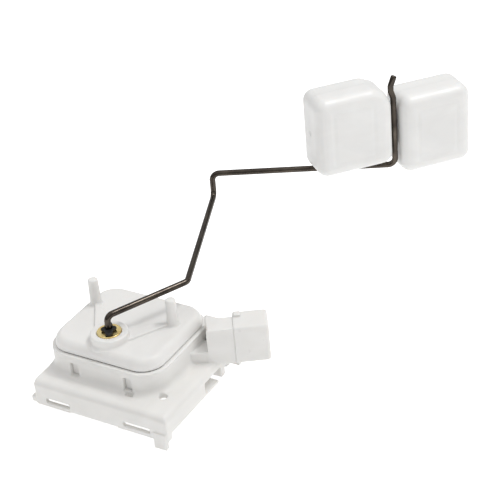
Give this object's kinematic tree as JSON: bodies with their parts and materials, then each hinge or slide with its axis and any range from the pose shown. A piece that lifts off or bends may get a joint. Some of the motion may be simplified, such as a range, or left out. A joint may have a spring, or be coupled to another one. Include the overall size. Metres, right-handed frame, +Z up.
{
  "type": "fuel level sender",
  "caption": "Tank level sender: snap-together plastic housing with rails and connector, swinging bent wire arm and a two-block float.",
  "frame": {"origin": "on the arm's pivot axis, level with the lowest foot of the base, where the tank bracket holds it", "axes": "+X along the base's front edge towards the connector side, +Y towards the back, +Z up the arm's pivot axis"},
  "size_m": [0.1098, 0.1824, 0.0899],
  "materials": {
    "housing_plastic": "satin moulded",
    "cover_plastic": "satin moulded",
    "seal_rubber": "matt",
    "bush_brass": "turned and polished",
    "collar_plastic": "satin moulded",
    "carrier_plastic": "satin moulded",
    "terminal_tin": "tinned",
    "card_ceramic": "unglazed ceramic",
    "track_ink": "printed resistive ink",
    "lead_tin": "tinned",
    "wire_steel": "drawn wire, dark bright finish",
    "retainer_plastic": "satin moulded",
    "washer_steel": "plain",
    "rotor_plastic": "satin moulded",
    "spring_bronze": "rolled strip",
    "contact_silver": "polished",
    "float_plastic": "satin moulded"
  },
  "bodies": {
    "housing": {"base_housing": "housing_plastic", "cover": "cover_plastic", "cover_seal": "seal_rubber", "pivot_bush": "bush_brass", "connector_collar": "collar_plastic", "terminal_carrier": "carrier_plastic", "terminal_1": "terminal_tin", "terminal_2": "terminal_tin", "terminal_3": "terminal_tin", "resistor_card": "card_ceramic", "resistor_track": "track_ink", "collector_track": "track_ink", "lead_1": "lead_tin", "lead_2": "lead_tin", "lead_3": "lead_tin"},
    "arm": {"float_arm": "wire_steel", "arm_retainer": "retainer_plastic", "thrust_washer": "washer_steel", "wiper_rotor": "rotor_plastic", "wiper_spring": "spring_bronze", "wiper_contact_outer": "contact_silver", "wiper_contact_inner": "contact_silver"},
    "float": {"float_left_front": "float_plastic", "float_left_back": "float_plastic", "float_right_front": "float_plastic", "float_right_back": "float_plastic", "float_bridge": "float_plastic"}
  },
  "joints": [
    {"name": "arm_swing", "type": "hinge", "parent": "housing", "child": "arm", "pos_m": [0, 0, 0.0389], "axis": [0, 0, 1], "range_deg": [-9, 63]},
    {"name": "float_swivel", "type": "hinge", "parent": "arm", "child": "float", "pos_m": [0.05851, 0.13028, 0.065], "axis": [0, 0, 1], "range_deg": [-130, 65]}
  ]
}
